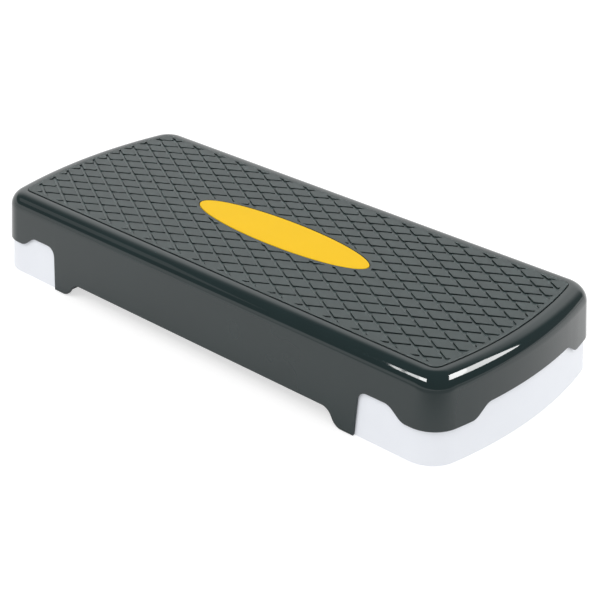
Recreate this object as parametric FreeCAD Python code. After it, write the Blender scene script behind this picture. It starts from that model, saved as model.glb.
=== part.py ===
import FreeCAD, Part
import math
import os

# Aerobic step platform with two heights. A moulded deck with a drafted skirt stands on its own four
# feet. A white leg nests in each end, slides down for the second height, and is bolted there.
# Millimetres, X along the length, Y across, Z up, origin on the floor under the middle of the deck.

os.makedirs("parts", exist_ok=True)
Vector = FreeCAD.Vector

# Overall size, standing low with the legs up
length = 680.0
width = 285.0
height = 96.0
end_bow_radius = 513.0
corner_radius = 38.0
draft_angle_deg = 5.0

# Deck and skirt
skirt_wall = 2.6
deck_thickness = 4.0
rim_round = 18.0
rim_border = 19.8
rim_lift = 0.8

# Tread mat and badge, both seated in the deck's recess
tread_depth = 1.0
recess_depth = 2.5
mat_groove = 0.9
badge_length = 246.4
badge_width = 58.0
badge_gap = 0.5
badge_chamfer = 0.8

# Wavy lower edge of the skirt around the legs
window_height = 51.2
window_round = 11.0
tab_height = 38.6
corner_tab_setback = 77.2
end_window_half = 69.8
ramp_run = 17.0
ramp_round = 14.0

# Feet of the skirt and the arch between them
leg_bay_length = 115.7
foot_edge_lean = 1.5
foot_width = 22.5
arch_height = 18.0
arch_run = 11.8
arch_round = 13.5
sole_thickness = 5.0
sole_depth = 38.0
sole_half_width = 7.0
foot_pad_length = 26.0
foot_pad_width = 12.0
foot_pad_round = 3.0

# Stiffening under the deck
bulkhead_thickness = 2.6
rib_thickness = 2.4
rib_depth = 22.0
long_rib_pitch = 58.0
cross_rib_count = 5
long_rib_steps = (-1, 0, 1)

# Guide posts under the deck, and the screw and washer that stop each leg
post_setback = 54.0
post_y = 85.0
post_radius = 11.0
post_wall = 3.0
post_bottom = 10.0
post_core_radius = 4.0
post_fin_thickness = 2.0
washer_radius = 14.5
washer_thickness = 2.0
stop_screw_radius = 2.0
stop_screw_length = 16.0
stop_head_radius = 4.0
stop_head_height = 2.6

# Legs
leg_travel = 50.0
leg_clearance = 0.5
leg_wall = 2.6
guide_clearance = 0.35
guide_wall = 3.0
washer_clearance = 1.0
stop_gap = 0.4
sleeve_bottom = 3.0
leg_rib_thickness = 2.4
leg_rib_bottom = 24.0
leg_sole_radius = 11.0
leg_sole_thickness = 5.0
leg_pad_radius = 8.5

# Rubber pads
pad_recess = 2.2
pad_clearance = 0.2

# Bolts that lock the legs, and the keepers that hold the bolts
bolt_width = 10.0
bolt_height = 8.0
bolt_throw = 6.0
bolt_tail_y = 26.0
bolt_clearance = 0.4
bolt_nose_gap = 0.6
bolt_round = 1.0
tab_thickness = 4.0
tab_drop = 18.0
tab_round = 1.2
tab_gap = 7.0
keeper_length = 22.0
keeper_thickness = 2.5
keeper_round = 2.0
keeper_edge = 4.5
rail_wall = 2.6
keeper_boss_radius = 3.6
keeper_screw_radius = 1.5
keeper_screw_length = 8.0
keeper_head_radius = 2.9
keeper_head_height = 1.9

# Fits of the screws, and cutting allowances
screw_clearance = 0.2
thread_clearance = 0.05
head_round_share = 0.5
slot_length_share = 0.6
slot_width_share = 0.14
slot_depth_share = 0.5
overrun = 10.0
tolerance = 0.01

# Heights and places that follow from the sizes above
draft = math.tan(math.radians(draft_angle_deg))
rim_top = height - tread_depth
recess_floor = rim_top - recess_depth
deck_under = recess_floor - deck_thickness
deck_middle = deck_under + deck_thickness / 2
mat_inset = rim_top * draft + rim_border
leg_inset = skirt_wall + leg_clearance
leg_top = deck_under - leg_clearance
leg_plate_under = leg_top - leg_wall
shoulder_z = post_bottom + leg_travel + stop_gap
guide_radius = post_radius + guide_clearance
sleeve_radius = washer_radius + washer_clearance
bolt_top = leg_plate_under - bolt_clearance
bolt_bottom = bolt_top - bolt_height
bolt_nose_y = post_y - post_radius - bolt_nose_gap
rail_bottom = bolt_bottom - bolt_clearance
rail_inner = bolt_width / 2 + bolt_clearance
keeper_screw_offset = rail_inner + keeper_boss_radius
keeper_near_y = bolt_tail_y + tab_thickness + bolt_throw + tab_gap
keeper_far_y = keeper_near_y + keeper_length
bow_centre_x = length / 2 - end_bow_radius
corner_reach = end_bow_radius - corner_radius
corner_y = width / 2 - corner_radius
corner_x = bow_centre_x + math.sqrt(corner_reach ** 2 - corner_y ** 2)
foot_outer = length / 2 - leg_bay_length
foot_inner = foot_outer - foot_width
side_window_end = length / 2 - corner_tab_setback
post_x = length / 2 - post_setback
leg_inner_x = foot_outer
bulkhead_x = (foot_inner + foot_outer) / 2
cross_rib_pitch = 2 * bulkhead_x / (cross_rib_count + 1)
sole_middle_x = bulkhead_x + arch_round * math.tan(math.atan2(arch_height - rim_lift, arch_run) / 2) / 2


def box(x_range, y_range, z_range):
    """Box between the two ends given on each axis, in either order."""
    ranges = (x_range, y_range, z_range)
    sizes = [abs(high - low) for low, high in ranges]
    corner = Vector(*[min(ends) for ends in ranges])
    return Part.makeBox(*sizes, corner)


def upright(radius, x, y, low_z, high_z):
    """Cylinder on a vertical axis."""
    return Part.makeCylinder(radius, high_z - low_z, Vector(x, y, low_z))


def mirrored_x(shape):
    return shape.mirror(Vector(0, 0, 0), Vector(1, 0, 0))


def mirrored_y(shape):
    return shape.mirror(Vector(0, 0, 0), Vector(0, 1, 0))


def joined(shapes):
    """One clean solid from shapes that overlap."""
    return shapes[0].fuse(shapes[1:]).removeSplitter()


def outline(inset, z):
    """Plan outline drawn in by inset: straight sides, bowed ends and round corners."""
    side_y = width / 2 - inset
    bow_radius = end_bow_radius - inset
    round_radius = corner_radius - inset
    towards_corner = Vector(corner_x - bow_centre_x, corner_y, 0).normalize()
    corner_middle = (towards_corner + Vector(0, 1, 0)).normalize()
    bow_end = Vector(bow_centre_x, 0, 0) + towards_corner * bow_radius
    round_middle = Vector(corner_x, corner_y, 0) + corner_middle * round_radius

    def point(place, sign_x, sign_y):
        return Vector(place.x * sign_x, place.y * sign_y, z)

    side_end = Vector(corner_x, side_y, 0)
    bow_tip = Vector(bow_centre_x + bow_radius, 0, 0)
    edges = []
    for sign in (1, -1):
        edges.append(Part.LineSegment(point(side_end, -sign, -sign), point(side_end, sign, -sign)))
        edges.append(Part.Arc(point(side_end, sign, -sign), point(round_middle, sign, -sign),
                              point(bow_end, sign, -sign)))
        edges.append(Part.Arc(point(bow_end, sign, -sign), point(bow_tip, sign, 0),
                              point(bow_end, sign, sign)))
        edges.append(Part.Arc(point(bow_end, sign, sign), point(round_middle, sign, sign),
                              point(side_end, sign, sign)))
    return Part.Wire([edge.toShape() for edge in edges])


def drafted_block(inset, low_z, high_z):
    """Solid whose sides run parallel to the skirt's, inset behind them, with a rounded upper edge."""
    lower = outline(inset + low_z * draft, low_z)
    upper = outline(inset + high_z * draft, high_z)
    block = Part.makeLoft([lower, upper], True, True)
    top_edges = [edge for edge in block.Edges
                 if all(abs(vertex.Z - high_z) < tolerance for vertex in edge.Vertexes)]
    return block.makeFillet(rim_round - inset, top_edges)


def rounded_profile(corners, place):
    """Closed face through corners (u, v, radius), each corner rounded by its radius."""
    points = [Vector(u, v, 0) for u, v, _ in corners]
    starts, middles, ends = [], [], []
    for index, (_, _, radius) in enumerate(corners):
        point = points[index]
        back = (points[index - 1] - point).normalize()
        ahead = (points[(index + 1) % len(points)] - point).normalize()
        half_angle = back.getAngle(ahead) / 2
        reach = radius / math.tan(half_angle)
        starts.append(point + back * reach)
        ends.append(point + ahead * reach)
        middles.append(point + (back + ahead).normalize() * (radius / math.sin(half_angle) - radius))
    edges = []
    for index, (_, _, radius) in enumerate(corners):
        previous_end = place(ends[index - 1])
        start = place(starts[index])
        if previous_end.distanceToPoint(start) > tolerance:
            edges.append(Part.LineSegment(previous_end, start).toShape())
        if radius > 0:
            edges.append(Part.Arc(start, place(middles[index]), place(ends[index])).toShape())
    return Part.Face(Part.Wire(edges))


def leg_opening():
    """Space under the skirt's wavy edge at the +X end."""
    ramp_end = side_window_end + ramp_run
    far_x = length / 2 + overrun
    side = rounded_profile(
        [(foot_outer, -overrun, 0),
         (foot_outer + foot_edge_lean, window_height, window_round),
         (side_window_end, window_height, ramp_round),
         (ramp_end, tab_height, ramp_round),
         (far_x, tab_height, 0),
         (far_x, -overrun, 0)],
        lambda p: Vector(p.x, -width / 2 - overrun, p.y))
    side = side.extrude(Vector(0, width + 2 * overrun, 0))
    outer_half = end_window_half + ramp_run
    end = rounded_profile(
        [(-outer_half - overrun, tab_height, 0),
         (-outer_half, tab_height, ramp_round),
         (-end_window_half, window_height, ramp_round),
         (end_window_half, window_height, ramp_round),
         (outer_half, tab_height, ramp_round),
         (outer_half + overrun, tab_height, 0),
         (outer_half + overrun, tab_height - overrun, 0),
         (-outer_half - overrun, tab_height - overrun, 0)],
        lambda p: Vector(ramp_end + overrun, p.x, p.y))
    end = end.extrude(Vector(far_x - ramp_end - overrun, 0, 0))
    return side.fuse(end)


def arch_opening():
    """Long low gap under each side of the skirt, between the feet."""
    arch_end = foot_inner - arch_run
    lead_end = foot_inner + arch_round
    face = rounded_profile(
        [(-lead_end, rim_lift, 0),
         (-foot_inner, rim_lift, arch_round),
         (-arch_end, arch_height, arch_round),
         (arch_end, arch_height, arch_round),
         (foot_inner, rim_lift, arch_round),
         (lead_end, rim_lift, 0),
         (lead_end, rim_lift - overrun, 0),
         (-lead_end, rim_lift - overrun, 0)],
        lambda p: Vector(p.x, -width / 2 - overrun, p.y))
    return face.extrude(Vector(0, width + 2 * overrun, 0))


def rounded_block(x_range, y_range, z_range, radius):
    """Box with rounded upright edges."""
    block = box(x_range, y_range, z_range)
    upright_edges = [edge for edge in block.Edges if edge.BoundBox.ZLength > tolerance]
    return block.makeFillet(radius, upright_edges)


def foot_pad(clearance):
    """Rubber pad under the foot at +X and -Y, or its recess when drawn out by clearance."""
    half_width = foot_pad_width / 2 + clearance
    outer_y = -width / 2 + sole_depth / 2 - foot_pad_length / 2 - clearance
    inner_y = outer_y + foot_pad_length + 2 * clearance
    return rounded_block((sole_middle_x - half_width, sole_middle_x + half_width), (outer_y, inner_y),
                         (0, rim_lift + pad_recess), foot_pad_round + clearance)


def four_feet(shape):
    """The shape at +X and -Y, and its copies at the other three corners."""
    pair = [shape, mirrored_x(shape)]
    return pair + [mirrored_y(copy) for copy in pair]


def guide_post():
    """Hollow post at +X and -Y with a screw core, and a bolt hole for each height of the leg."""
    tube = upright(post_radius, post_x, -post_y, post_bottom, deck_middle)
    tube = tube.cut(upright(post_radius - post_wall, post_x, -post_y, post_bottom - overrun, deck_under))
    core = upright(post_core_radius, post_x, -post_y, post_bottom, deck_middle)
    fin_half = post_radius - post_wall / 2
    fin_y = (-post_y - post_fin_thickness / 2, -post_y + post_fin_thickness / 2)
    fin = box((post_x - fin_half, post_x + fin_half), fin_y, (post_bottom, deck_middle))
    post = joined([tube, core, fin])
    pilot_radius = stop_screw_radius + thread_clearance
    pilot = upright(pilot_radius, post_x, -post_y, post_bottom - overrun, post_bottom + stop_screw_length)
    holes = [box((post_x - rail_inner, post_x + rail_inner),
                 (-post_y + post_core_radius, -post_y + post_radius + overrun),
                 (bolt_bottom - bolt_clearance - drop, bolt_top + bolt_clearance - drop))
             for drop in (0, leg_travel)]
    return post.cut([pilot] + holes)


def platform_body():
    """Deck, skirt, feet, ribs and guide posts: one moulding, open underneath."""
    shell = drafted_block(0, rim_lift, rim_top)
    shell = shell.cut(drafted_block(skirt_wall, rim_lift - overrun, deck_under))
    recess = Part.Face(outline(mat_inset - mat_groove, recess_floor))
    shell = shell.cut(recess.extrude(Vector(0, 0, recess_depth + overrun)))
    opening = leg_opening()
    shell = shell.cut([opening, mirrored_x(opening), arch_opening()])

    sole_inner_y = -width / 2 + sole_depth
    sole = box((sole_middle_x - sole_half_width, sole_middle_x + sole_half_width),
               (-width / 2, sole_inner_y), (rim_lift, rim_lift + sole_thickness))
    half_bulkhead = bulkhead_thickness / 2
    bulkhead = box((bulkhead_x - half_bulkhead, bulkhead_x + half_bulkhead),
                   (-width / 2, width / 2), (rim_lift, deck_middle))
    bulkhead = bulkhead.cut(box((0, length), (sole_inner_y, -sole_inner_y), (0, arch_height)))
    half_rib = rib_thickness / 2
    rib_z = (deck_under - rib_depth, deck_middle)
    ribs = []
    for step in long_rib_steps:
        rib_y = step * long_rib_pitch
        ribs.append(box((-bulkhead_x, bulkhead_x), (rib_y - half_rib, rib_y + half_rib), rib_z))
    for number in range(1, cross_rib_count + 1):
        rib_x = number * cross_rib_pitch - bulkhead_x
        ribs.append(box((rib_x - half_rib, rib_x + half_rib), (-width / 2, width / 2), rib_z))
    stiffening = joined(four_feet(sole) + [bulkhead, mirrored_x(bulkhead)] + ribs)
    stiffening = stiffening.common(drafted_block(skirt_wall / 2, rim_lift, deck_middle))
    body = joined([shell, stiffening] + four_feet(guide_post()))
    return body.cut(four_feet(foot_pad(pad_clearance)))


def oval(margin, low_z, high_z):
    """Upright oval prism in the middle of the deck, larger all round by margin."""
    ellipse = Part.Ellipse(Vector(0, 0, low_z), badge_length / 2 + margin, badge_width / 2 + margin)
    return Part.Face(Part.Wire(ellipse.toShape())).extrude(Vector(0, 0, high_z - low_z))


def tread_mat():
    """Rubber mat with an oval opening for the badge."""
    mat = Part.Face(outline(mat_inset, recess_floor)).extrude(Vector(0, 0, height - recess_floor))
    return mat.cut(oval(badge_gap, recess_floor - overrun, height + overrun))


def badge():
    """Plain oval plate with a chamfered upper edge."""
    plate = oval(0, recess_floor, height)
    top_edges = [edge for edge in plate.Edges if edge.BoundBox.ZMin > height - tolerance]
    return plate.makeChamfer(badge_chamfer, top_edges)


def stop_washer():
    washer = upright(washer_radius, post_x, -post_y, post_bottom - washer_thickness, post_bottom)
    hole_radius = stop_screw_radius + screw_clearance
    return washer.cut(upright(hole_radius, post_x, -post_y, 0, post_bottom + overrun))


def screw_up(x, y, seat_z, shank_radius, shank_length, head_radius, head_height):
    """Pan-head screw driven upwards, its head under seat_z, with a cross slot."""
    head = upright(head_radius, x, y, seat_z - head_height, seat_z)
    lower_edges = [edge for edge in head.Edges if edge.BoundBox.ZMax < seat_z - head_height + tolerance]
    head = head.makeFillet(head_height * head_round_share, lower_edges)
    screw = joined([head, upright(shank_radius, x, y, seat_z - head_height / 2, seat_z + shank_length)])
    half_length = head_radius * slot_length_share
    half_width = head_radius * slot_width_share
    slot_z = (seat_z - head_height - overrun, seat_z - head_height * slot_depth_share)
    slots = [box((x - half_length, x + half_length), (y - half_width, y + half_width), slot_z),
             box((x - half_width, x + half_width), (y - half_length, y + half_length), slot_z)]
    return screw.cut(slots)


def stop_screw():
    return screw_up(post_x, -post_y, post_bottom - washer_thickness, stop_screw_radius,
                    stop_screw_length, stop_head_radius, stop_head_height)


def leg_sole_places():
    """Middles of the soles in the +X leg: by the inner wall, and by the bowed end wall."""
    inner_x = leg_inner_x + leg_wall / 2 + leg_sole_radius
    inner_y = width / 2 - leg_inset - leg_wall / 2 - leg_sole_radius
    end_radius = end_bow_radius - leg_inset - leg_wall / 2 - leg_sole_radius
    outer_x = bow_centre_x + math.sqrt(end_radius ** 2 - post_y ** 2)
    return [(x, sign * y) for x, y in ((inner_x, inner_y), (outer_x, post_y)) for sign in (-1, 1)]


def leg_pads():
    return [upright(leg_pad_radius, x, y, 0, rim_lift + pad_recess) for x, y in leg_sole_places()]


def keeper_screw_places():
    """Screws of the front keeper in the +X leg."""
    middle_y = -(keeper_far_y + keeper_near_y) / 2
    return [(post_x + sign * keeper_screw_offset, middle_y) for sign in (-1, 1)]


def bolt_rails():
    """Two rails and two screw bosses that hang from the leg's top plate at the front bolt."""
    top_z = leg_top - leg_wall / 2
    pieces = [box((post_x + sign * rail_inner, post_x + sign * (rail_inner + rail_wall)),
                  (-keeper_far_y, -keeper_near_y), (rail_bottom, top_z)) for sign in (-1, 1)]
    pieces += [upright(keeper_boss_radius, x, y, rail_bottom, top_z) for x, y in keeper_screw_places()]
    return pieces


def sleeve():
    """Guide sleeve at the front of the +X leg: narrow above its shoulder, wide below."""
    narrow = upright(guide_radius + guide_wall, post_x, -post_y, shoulder_z, leg_top - leg_wall / 2)
    wide = upright(sleeve_radius + guide_wall, post_x, -post_y, sleeve_bottom, shoulder_z + guide_wall)
    return [narrow, wide]


def sleeve_bores():
    """Bores of the front sleeve, and the slot that its bolt passes through."""
    through = upright(guide_radius, post_x, -post_y, 0, leg_top + overrun)
    wide = upright(sleeve_radius, post_x, -post_y, 0, shoulder_z)
    slot = box((post_x - rail_inner, post_x + rail_inner),
               (-post_y, -post_y + guide_radius + guide_wall + overrun),
               (bolt_bottom - bolt_clearance, leg_plate_under))
    return [through, wide, slot]


def right_leg():
    """Cup that nests in the end of the skirt, with its sleeves, ribs and soles: one moulding."""
    beyond_inner = box((leg_inner_x, length), (-width, width), (-height, height))
    beyond_wall = box((leg_inner_x + leg_wall, length), (-width, width), (-height, height))
    cup = drafted_block(leg_inset, rim_lift, leg_top).common(beyond_inner)
    hollow = drafted_block(leg_inset + leg_wall, rim_lift - overrun, leg_plate_under).common(beyond_wall)
    cup = cup.cut(hollow)

    half_rib = leg_rib_thickness / 2
    rib_z = (leg_rib_bottom, leg_top - leg_wall / 2)
    ribs = [box((leg_inner_x, length), (-post_y - half_rib, -post_y + half_rib), rib_z),
            box((post_x - half_rib, post_x + half_rib), (-width, -post_y), rib_z)]
    front = sleeve() + ribs + bolt_rails()
    soles = [upright(leg_sole_radius, x, y, rim_lift, rim_lift + leg_sole_thickness)
             for x, y in leg_sole_places()]
    inside = joined(front + [mirrored_y(piece) for piece in front])
    inside = joined([inside] + soles)
    within = drafted_block(leg_inset + leg_wall / 2, rim_lift, leg_top - leg_wall / 2)
    past_wall_middle = box((leg_inner_x + leg_wall / 2, length), (-width, width), (0, height))
    inside = inside.common(within.common(past_wall_middle))

    pilot_radius = keeper_screw_radius + thread_clearance
    cuts = sleeve_bores()
    cuts += [upright(pilot_radius, x, y, rail_bottom - overrun, rail_bottom + keeper_screw_length)
             for x, y in keeper_screw_places()]
    cuts += [mirrored_y(piece) for piece in cuts]
    cuts += [upright(leg_pad_radius + pad_clearance, x, y, 0, rim_lift + pad_recess)
             for x, y in leg_sole_places()]
    return joined([cup, inside]).cut(cuts)


def front_bolt():
    """Sliding bolt with a thumb tab, drawn back clear of the post."""
    half_width = bolt_width / 2
    bolt_x = (post_x - half_width, post_x + half_width)
    bar = box(bolt_x, (-bolt_nose_y, -bolt_tail_y), (bolt_bottom, bolt_top))
    nose_edges = [edge for edge in bar.Edges if edge.BoundBox.YMax < -bolt_nose_y + tolerance]
    bar = bar.makeChamfer(bolt_round, nose_edges)
    tab = box(bolt_x, (-bolt_tail_y - tab_thickness, -bolt_tail_y),
              (bolt_bottom - tab_drop, bolt_bottom + bolt_height / 2))
    lower_edges = [edge for edge in tab.Edges if edge.BoundBox.ZMax < bolt_bottom - tab_drop + tolerance]
    tab = tab.makeFillet(tab_round, lower_edges)
    return joined([bar, tab])


def front_keeper():
    """Plate under the rails that carries the bolt."""
    half_width = keeper_screw_offset + keeper_edge
    plate = rounded_block((post_x - half_width, post_x + half_width), (-keeper_far_y, -keeper_near_y),
                          (rail_bottom - keeper_thickness, rail_bottom), keeper_round)
    hole_radius = keeper_screw_radius + screw_clearance
    return plate.cut([upright(hole_radius, x, y, rail_bottom - overrun, rail_bottom + overrun)
                      for x, y in keeper_screw_places()])


def keeper_screws():
    seat_z = rail_bottom - keeper_thickness
    front = [screw_up(x, y, seat_z, keeper_screw_radius, keeper_screw_length, keeper_head_radius,
                      keeper_head_height) for x, y in keeper_screw_places()]
    return front + [mirrored_y(screw) for screw in front]


def leg_nodes():
    """Pieces of the +X leg, by the last part of their node's name."""
    return {
        "leg": right_leg(),
        "leg_pads": Part.makeCompound(leg_pads()),
        "front_bolt": front_bolt(),
        "rear_bolt": mirrored_y(front_bolt()),
        "front_keeper": front_keeper(),
        "rear_keeper": mirrored_y(front_keeper()),
        "keeper_screws": Part.makeCompound(keeper_screws()),
    }


nodes = {
    "platform_body": platform_body(),
    "tread_mat": tread_mat(),
    "badge": badge(),
    "foot_pads": Part.makeCompound(four_feet(foot_pad(0))),
    "stop_washers": Part.makeCompound(four_feet(stop_washer())),
    "stop_screws": Part.makeCompound(four_feet(stop_screw())),
}
for name, shape in leg_nodes().items():
    nodes["right_" + name] = shape
    nodes["left_" + name] = mirrored_x(shape)
for name, shape in nodes.items():
    shape.exportStep("parts/" + name + ".step")
    print(name, len(shape.Solids), "solids", round(shape.Volume), "mm3, valid:", shape.isValid())
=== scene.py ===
"""Looks of an aerobic step with two heights, modelled around its CAD parts."""

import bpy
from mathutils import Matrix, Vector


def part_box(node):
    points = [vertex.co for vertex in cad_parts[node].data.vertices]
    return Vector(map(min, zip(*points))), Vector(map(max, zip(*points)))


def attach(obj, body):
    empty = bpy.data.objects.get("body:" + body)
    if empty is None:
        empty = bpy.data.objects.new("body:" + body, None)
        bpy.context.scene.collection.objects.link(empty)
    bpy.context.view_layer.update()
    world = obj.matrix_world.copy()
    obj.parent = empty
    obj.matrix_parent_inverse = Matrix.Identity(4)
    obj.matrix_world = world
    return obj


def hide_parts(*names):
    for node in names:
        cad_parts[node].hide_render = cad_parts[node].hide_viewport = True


bl_info = {
    "name": "Aerobic step platform",
    "version": (1, 0, 0),
    "blender": (4, 5, 0),
    "location": "View3D > Sidebar > Step",
    "description": "Models and finishes a moulded aerobic step with sliding end legs",
    "category": "Add Mesh",
}

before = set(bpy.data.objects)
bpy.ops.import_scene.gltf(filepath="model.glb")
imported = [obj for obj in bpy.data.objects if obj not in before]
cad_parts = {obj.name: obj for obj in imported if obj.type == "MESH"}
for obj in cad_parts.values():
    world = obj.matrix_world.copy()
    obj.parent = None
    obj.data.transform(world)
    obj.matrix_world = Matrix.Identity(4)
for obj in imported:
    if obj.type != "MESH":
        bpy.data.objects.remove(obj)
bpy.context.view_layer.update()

import math

import bmesh
import bpy
from bpy.props import FloatProperty, FloatVectorProperty, IntProperty, PointerProperty
from mathutils import Matrix, Vector

MM = 0.001
MERGE = 0.01 * MM

# Edges that bend by more are sharp, and faces whose normals rise by less are upright
SHARP_ANGLE = math.radians(40)
UPRIGHT = math.cos(SHARP_ANGLE) / 2

# Parts that round stretches are divided into
ARC_PARTS = 6
RIM_PARTS = 18
UNDER_RIM_PARTS = 8
CORNER_PARTS = 14
BOW_PARTS = 12
POST_SIDES = 36
CORE_SIDES = 24
OVAL_SIDES = 128

# Width of the mat's grain in millimetres, and slots of its materials
MAT_GRAIN = 0.9
PAD_SLOT = 0
CHANNEL_SLOT = 1
# Slot of the mat's upright faces, whose darker rubber is painted shade
SHADED_SIDE_SLOT = 2

# Shortest edges beside a pad's rounded corner, in roundings, and smallest pad, in squares of them
CORNER_ROOM = 2.2
LEAST_PAD = 4

# Reflected surroundings, as parts of a unit direction: where the dark studio turns into the white backdrop,
# where the floor's sweep turns into both, and how much the sweep's edge leans along the deck
BACKDROP_ALONG = (0.3, -0.05)
BACKDROP_ACROSS = (-0.1, 0.45)
BACKDROP_HEIGHT = (0.85, 0.62)
SWEEP_HEIGHT = (0.14, 0.2)
SWEEP_LEAN = 0.12

mat_low, mat_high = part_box("tread_mat")
badge_low, badge_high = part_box("badge")


# Properties

def size(label, text, millimetres):
    """Length property with its default in millimetres."""
    return FloatProperty(name=label, description=text, default=millimetres * MM, unit="LENGTH", precision=5)


def turn(label, text, degrees):
    """Angle property with its default in degrees."""
    return FloatProperty(name=label, description=text, default=math.radians(degrees), subtype="ANGLE")


def linear(hex_colour):
    """Linear red, green and blue of an sRGB hex colour."""
    channels = [int(hex_colour[start:start + 2], 16) / 255 for start in (1, 3, 5)]
    return [c / 12.92 if c <= 0.04045 else ((c + 0.055) / 1.055) ** 2.4 for c in channels]


def colour(label, text, hex_colour):
    """Colour property with its default as an sRGB hex value."""
    return FloatVectorProperty(name=label, description=text, default=linear(hex_colour), subtype="COLOR",
                               min=0, max=1)


def amount(label, text, value):
    """Plain number property."""
    return FloatProperty(name=label, description=text, default=value, precision=4)


class DeckSizes(bpy.types.PropertyGroup):
    """Deck moulding: its plan, its drafted skirt and its rounded rim."""
    length: size("Length", "Over the bowed ends, at the floor", 680)
    width: size("Width", "Over the straight sides, at the floor", 285)
    end_bow: size("End bow", "Radius of the bowed ends in plan", 513)
    corner: size("Corner", "Radius of the corners in plan", 38)
    draft: turn("Draft", "Lean of the skirt", 5)
    wall: size("Wall", "Thickness of the skirt", 2.6)
    rim_top: size("Rim top", "Height of the rim over the floor", 95)
    rim_round: size("Rim round", "Radius of the rounded upper edge", 18)
    rim_border: size("Rim border", "Rim between the skirt's upper edge and the mat, in plan", 19.8)
    groove: size("Groove", "Gap between the rim and the mat", 0.9)
    plate: size("Plate", "Thickness of the deck under the mat", 4)
    lip: size("Lip", "Rounding of the moulding's thin edges", 0.5)
    rim_lip: size("Rim lip", "Rounding of the rim's inner edge", 0.3)


class LowerEdgeSizes(bpy.types.PropertyGroup):
    """Wavy lower edge of the skirt: arches, feet and the openings for the legs."""
    lift: size("Lift", "Skirt's lowest edge over the floor", 0.8)
    arch_height: size("Arch height", "Long arch between the feet", 18)
    arch_run: size("Arch run", "Length of the arch's slope", 11.8)
    arch_round: size("Arch round", "Radius of the arch's bends", 13.5)
    foot_outer: size("Foot outer", "Foot's outer edge from the middle", 224.3)
    foot_width: size("Foot width", "Foot along the side", 22.5)
    foot_lean: size("Foot lean", "How far the foot's outer edge leans", 1.5)
    window_height: size("Window height", "High stretches of the leg opening", 51.2)
    window_round: size("Window round", "Radius where the foot meets the opening", 11)
    tab_height: size("Tab height", "Low tab at each corner", 38.6)
    tab_start: size("Tab start", "Where the side's slope to the tab starts, from the middle", 262.8)
    end_window: size("End window", "Half of the high stretch at the end", 69.8)
    ramp_run: size("Ramp run", "Length of the slope to a tab", 17)
    ramp_round: size("Ramp round", "Radius of a slope's bends", 14)


class UndersideSizes(bpy.types.PropertyGroup):
    """Ribs, bulkheads, soles and guide posts under the deck."""
    rib_depth: size("Rib depth", "Ribs below the deck", 22)
    rib_wall: size("Rib wall", "Thickness of the ribs", 2.4)
    long_rib_step: size("Long rib step", "Distance between long ribs", 58)
    cross_ribs: IntProperty(name="Cross ribs", description="Ribs between the bulkheads", default=5, min=0)
    bulkhead_wall: size("Bulkhead wall", "Thickness of the bulkheads", 2.6)
    sole_depth: size("Sole depth", "Soles of the feet, inwards from the skirt", 38)
    sole_width: size("Sole width", "Soles of the feet, along the side", 14)
    sole_wall: size("Sole wall", "Thickness of the soles", 5)
    sole_middle: size("Sole middle", "Soles of the feet from the middle, along the side", 216.6)
    pad_length: size("Pad recess length", "Recess for a foot's rubber pad", 26.4)
    pad_width: size("Pad recess width", "Recess for a foot's rubber pad", 12.4)
    pad_round: size("Pad recess round", "Corners of the pad's recess", 3.2)
    pad_depth: size("Pad recess depth", "Depth of the pad's recess", 2.2)
    post_x: size("Post X", "Guide posts from the middle, along the deck", 286)
    post_y: size("Post Y", "Guide posts from the middle, across the deck", 85)
    post_radius: size("Post radius", "Outside of the guide posts", 11)
    post_wall: size("Post wall", "Thickness of the guide posts", 3)
    post_bottom: size("Post bottom", "Lower end of the guide posts", 10)
    post_core: size("Post core", "Radius of the screw core in a post", 4)
    post_fin: size("Post fin", "Thickness of the fin that holds the core", 2)
    hole_low: size("Hole low", "Lower edge of a post's upper bolt hole", 76.6)
    hole_high: size("Hole high", "Upper edge of a post's upper bolt hole", 85.4)
    hole_turn: turn("Hole turn", "Half of the angle that a bolt hole takes from a post", 42)
    leg_travel: size("Leg travel", "Distance between the bolt holes", 50)


class TreadSizes(bpy.types.PropertyGroup):
    """Rubber mat: rhombic pads between sunk channels."""
    depth: size("Channel depth", "Channels below the pads", 1.7)
    half_long: size("Half long diagonal", "Half of the step between pads along the deck", 18.4)
    half_short: size("Half short diagonal", "Half of the step between pads across the deck", 10.53)
    channel: size("Channel", "Width of the channels", 2.8)
    tip: size("Pad tip", "How far a pad's pointed ends are cut back along the deck", 2.8)
    corner: size("Pad corner", "How far a pad's corners are rounded", 0.9)
    edge: size("Pad edge", "Rounding of the pads' upper edges", 0.25)
    border: size("Border", "Level strip along the mat's edge", 4.5)
    oval_border: size("Oval border", "Level strip round the badge", 4)
    oval_gap: size("Oval gap", "Gap round the badge", 1)


class BadgeSizes(bpy.types.PropertyGroup):
    """Bare oval badge in the middle of the mat."""
    bevel: size("Bevel", "Bevel round the badge's face", 0.6)


class Finishes(bpy.types.PropertyGroup):
    """Colours of the mouldings, the rubber and the metal."""
    slate: colour("Slate", "Polished polypropylene of the deck", "#192829")
    rubber: colour("Rubber", "Raised face of the mat", "#384242")
    channel: colour("Channel", "Sunk channels of the mat", "#465151")
    # Darker rubber on the upright faces of the mat and its pads: painted shade, not a smoother finish
    side: colour("Side", "Smooth upright sides of the mat and its pads", "#222929")
    yellow: colour("Yellow", "Badge", "#F0C000")
    white: colour("White", "Legs", "#EDF0F6")
    nylon: colour("Nylon", "Bolts and keepers", "#2E3134")
    foot: colour("Foot rubber", "Pads under the feet and legs", "#2B2D2E")
    zinc: colour("Zinc", "Screws and washers", "#B9BDC0")


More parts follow.
